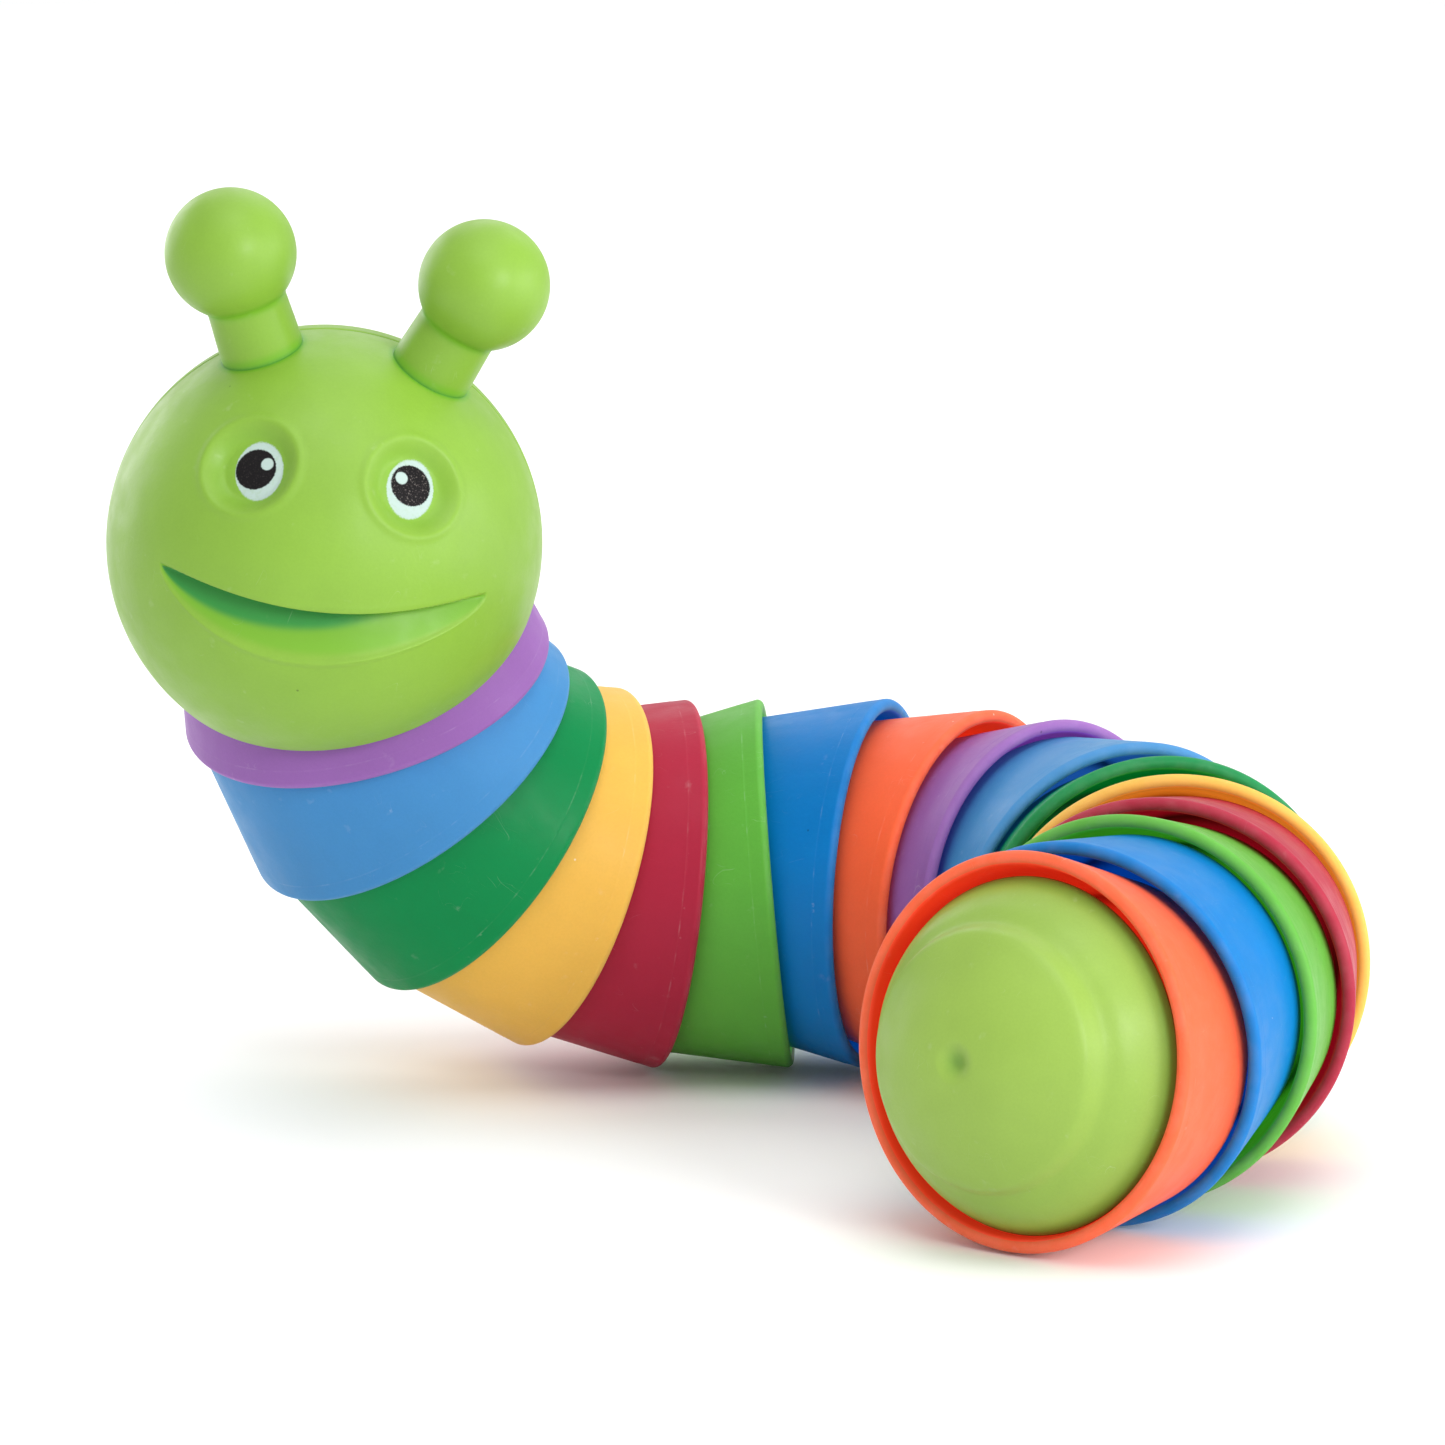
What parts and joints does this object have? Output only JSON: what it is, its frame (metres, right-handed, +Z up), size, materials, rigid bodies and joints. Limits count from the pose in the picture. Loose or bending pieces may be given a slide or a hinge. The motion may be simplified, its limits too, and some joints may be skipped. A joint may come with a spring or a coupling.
{
  "type": "segmented worm fidget toy",
  "caption": "Segmented worm desk toy: a round smiling head and tapered cups nested in one another on ball pins, so that the body bends and twists and keeps its shape.",
  "frame": {"origin": "on the table, in the middle of the model's box", "axes": "+Z up from the table, +X from the head towards the middle of the body, -Y towards the viewer that the face looks at"},
  "size_m": [0.1484, 0.1336, 0.1127],
  "materials": {
    "head_green": "satin moulded polypropylene, bright green",
    "tail_green": "satin moulded polypropylene, yellow green",
    "inner_natural": "natural acetal, unpainted",
    "cup_purple": "satin moulded polypropylene, purple",
    "cup_light_blue": "satin moulded polypropylene, light blue",
    "cup_dark_green": "satin moulded polypropylene, dark green",
    "cup_yellow": "satin moulded polypropylene, yellow",
    "cup_red": "satin moulded polypropylene, red",
    "cup_light_green": "satin moulded polypropylene, light green",
    "cup_blue": "satin moulded polypropylene, blue",
    "cup_orange": "satin moulded polypropylene, orange"
  },
  "bodies": {
    "head": {"head_front_shell": "head_green", "head_back_shell": "head_green", "neck_plate": "inner_natural", "antenna_left": "head_green", "antenna_right": "head_green"},
    "cup_01": {"cup_01": "cup_purple"},
    "cup_02": {"cup_02": "cup_light_blue"},
    "cup_03": {"cup_03": "cup_dark_green"},
    "cup_04": {"cup_04": "cup_yellow"},
    "cup_05": {"cup_05": "cup_red"},
    "cup_06": {"cup_06": "cup_light_green"},
    "cup_07": {"cup_07": "cup_blue"},
    "cup_08": {"cup_08": "cup_orange"},
    "cup_09": {"cup_09": "cup_purple"},
    "cup_10": {"cup_10": "cup_light_blue"},
    "cup_11": {"cup_11": "cup_dark_green"},
    "cup_12": {"cup_12": "cup_yellow"},
    "cup_13": {"cup_13": "cup_red"},
    "cup_14": {"cup_14": "cup_light_green"},
    "cup_15": {"cup_15": "cup_blue"},
    "cup_16": {"cup_16": "cup_orange", "tail_cap": "tail_green"},
    "pin_01": {"ball_pin_01": "inner_natural"},
    "pin_02": {"ball_pin_02": "inner_natural"},
    "pin_03": {"ball_pin_03": "inner_natural"},
    "pin_04": {"ball_pin_04": "inner_natural"},
    "pin_05": {"ball_pin_05": "inner_natural"},
    "pin_06": {"ball_pin_06": "inner_natural"},
    "pin_07": {"ball_pin_07": "inner_natural"},
    "pin_08": {"ball_pin_08": "inner_natural"},
    "pin_09": {"ball_pin_09": "inner_natural"},
    "pin_10": {"ball_pin_10": "inner_natural"},
    "pin_11": {"ball_pin_11": "inner_natural"},
    "pin_12": {"ball_pin_12": "inner_natural"},
    "pin_13": {"ball_pin_13": "inner_natural"},
    "pin_14": {"ball_pin_14": "inner_natural"},
    "pin_15": {"ball_pin_15": "inner_natural"},
    "pin_16": {"ball_pin_16": "inner_natural"}
  },
  "joints": [
    {"name": "tilt_01", "type": "hinge", "parent": "cup_01", "child": "pin_01", "pos_m": [-0.04607, 0.02439, 0.05683], "axis": [0.9456, 0.1411, 0.293], "range_deg": [-37.11, 0.89]},
    {"name": "swivel_01", "type": "hinge", "parent": "pin_01", "child": "head", "pos_m": [-0.04607, 0.02439, 0.05683], "axis": [0.1513, 0.6065, -0.7805], "continuous": true},
    {"name": "tilt_02", "type": "hinge", "parent": "cup_02", "child": "pin_02", "pos_m": [-0.04309, 0.02865, 0.04513], "axis": [-0.1983, 0.936, 0.2907], "range_deg": [-37.39, 0.61]},
    {"name": "swivel_02", "type": "hinge", "parent": "pin_02", "child": "cup_01", "pos_m": [-0.04309, 0.02865, 0.04513], "axis": [0.2333, 0.3332, -0.9135], "continuous": true},
    {"name": "tilt_03", "type": "hinge", "parent": "cup_03", "child": "pin_03", "pos_m": [-0.03641, 0.03316, 0.03519], "axis": [-0.3019, 0.9282, 0.2176], "range_deg": [-35.78, 2.22]},
    {"name": "swivel_03", "type": "hinge", "parent": "pin_03", "child": "cup_02", "pos_m": [-0.03641, 0.03316, 0.03519], "axis": [0.5217, 0.3519, -0.7771], "continuous": true},
    {"name": "tilt_04", "type": "hinge", "parent": "cup_04", "child": "pin_04", "pos_m": [-0.02707, 0.03792, 0.02785], "axis": [-0.2183, 0.9219, 0.3199], "range_deg": [-36.16, 1.84]},
    {"name": "swivel_04", "type": "hinge", "parent": "pin_04", "child": "cup_03", "pos_m": [-0.02707, 0.03792, 0.02785], "axis": [0.7299, 0.3719, -0.5736], "continuous": true},
    {"name": "tilt_05", "type": "hinge", "parent": "cup_05", "child": "pin_05", "pos_m": [-0.0157, 0.04206, 0.02368], "axis": [-0.0627, 0.7884, 0.612], "range_deg": [-34.44, 3.56]},
    {"name": "swivel_05", "type": "hinge", "parent": "pin_05", "child": "cup_04", "pos_m": [-0.0157, 0.04206, 0.02368], "axis": [0.8885, 0.3234, -0.3256], "continuous": true},
    {"name": "tilt_06", "type": "hinge", "parent": "cup_06", "child": "pin_06", "pos_m": [-0.00318, 0.04426, 0.02212], "axis": [-0.0558, 0.7679, 0.6382], "range_deg": [-34.61, 3.39]},
    {"name": "swivel_06", "type": "hinge", "parent": "pin_06", "child": "cup_05", "pos_m": [-0.00318, 0.04426, 0.02212], "axis": [0.9775, 0.1724, -0.1219], "continuous": true},
    {"name": "swivel_07", "type": "hinge", "parent": "cup_06", "child": "pin_07", "pos_m": [0.00957, 0.04426, 0.02323], "axis": [0.9962, 0, 0.0872], "continuous": true},
    {"name": "tilt_07", "type": "hinge", "parent": "pin_07", "child": "cup_07", "pos_m": [0.00957, 0.04426, 0.02323], "axis": [0.0811, 0.3653, -0.9273], "range_deg": [-35.14, 2.86]},
    {"name": "swivel_08", "type": "hinge", "parent": "cup_07", "child": "pin_08", "pos_m": [0.02193, 0.04095, 0.02301], "axis": [0.9658, -0.2588, -0.0175], "continuous": true},
    {"name": "tilt_08", "type": "hinge", "parent": "pin_08", "child": "cup_08", "pos_m": [0.02193, 0.04095, 0.02301], "axis": [0.0012, 0.0717, -0.9974], "range_deg": [-34.03, 3.97]},
    {"name": "swivel_09", "type": "hinge", "parent": "cup_08", "child": "pin_09", "pos_m": [0.03301, 0.03455, 0.02256], "axis": [0.8655, -0.4997, -0.0349], "continuous": true},
    {"name": "tilt_09", "type": "hinge", "parent": "pin_09", "child": "cup_09", "pos_m": [0.03301, 0.03455, 0.02256], "axis": [-0.1865, -0.2568, -0.9483], "range_deg": [-34.81, 3.19]},
    {"name": "swivel_10", "type": "hinge", "parent": "cup_09", "child": "pin_10", "pos_m": [0.04205, 0.02551, 0.02323], "axis": [0.7061, -0.7061, 0.0523], "continuous": true},
    {"name": "tilt_10", "type": "hinge", "parent": "pin_10", "child": "cup_10", "pos_m": [0.04205, 0.02551, 0.02323], "axis": [0.3652, 0.2999, -0.8813], "range_deg": [-35.99, 2.01]},
    {"name": "swivel_11", "type": "hinge", "parent": "cup_10", "child": "pin_11", "pos_m": [0.04842, 0.01447, 0.02212], "axis": [0.4981, -0.8627, -0.0872], "continuous": true},
    {"name": "tilt_11", "type": "hinge", "parent": "pin_11", "child": "cup_11", "pos_m": [0.04842, 0.01447, 0.02212], "axis": [-0.48, -0.1906, -0.8563], "range_deg": [-36.48, 1.52]},
    {"name": "swivel_12", "type": "hinge", "parent": "cup_11", "child": "pin_12", "pos_m": [0.05173, 0.00214, 0.02301], "axis": [0.2582, -0.9636, 0.0698], "continuous": true},
    {"name": "tilt_12", "type": "hinge", "parent": "pin_12", "child": "cup_12", "pos_m": [0.05173, 0.00214, 0.02301], "axis": [0.2608, 0, -0.9654], "range_deg": [-34.51, 3.49]},
    {"name": "swivel_13", "type": "hinge", "parent": "cup_12", "child": "pin_13", "pos_m": [0.05173, -0.01066, 0.02301], "axis": [0, -1, 0], "continuous": true},
    {"name": "tilt_13", "type": "hinge", "parent": "pin_13", "child": "cup_13", "pos_m": [0.05173, -0.01066, 0.02301], "axis": [0.1337, 0, -0.991], "range_deg": [-34.13, 3.87]},
    {"name": "swivel_14", "type": "hinge", "parent": "cup_13", "child": "pin_14", "pos_m": [0.04841, -0.02302, 0.02256], "axis": [-0.2587, -0.9653, -0.0349], "continuous": true},
    {"name": "tilt_14", "type": "hinge", "parent": "pin_14", "child": "cup_14", "pos_m": [0.04841, -0.02302, 0.02256], "axis": [-0.4709, 0.1575, -0.868], "range_deg": [-27.06, 10.94]},
    {"name": "swivel_15", "type": "hinge", "parent": "cup_14", "child": "pin_15", "pos_m": [0.04362, -0.03488, 0.02301], "axis": [-0.3744, -0.9266, 0.0349], "continuous": true},
    {"name": "tilt_15", "type": "hinge", "parent": "pin_15", "child": "cup_15", "pos_m": [0.04362, -0.03488, 0.02301], "axis": [0.6469, -0.288, -0.7061], "range_deg": [-28.89, 9.11]},
    {"name": "swivel_16", "type": "hinge", "parent": "cup_15", "child": "pin_16", "pos_m": [0.03744, -0.04603, 0.02189], "axis": [-0.483, -0.8713, -0.0872], "continuous": true},
    {"name": "tilt_16", "type": "hinge", "parent": "pin_16", "child": "cup_16", "pos_m": [0.03744, -0.04603, 0.02189], "axis": [-0.7341, 0.4571, -0.5021], "range_deg": [-32.89, 5.11]}
  ]
}
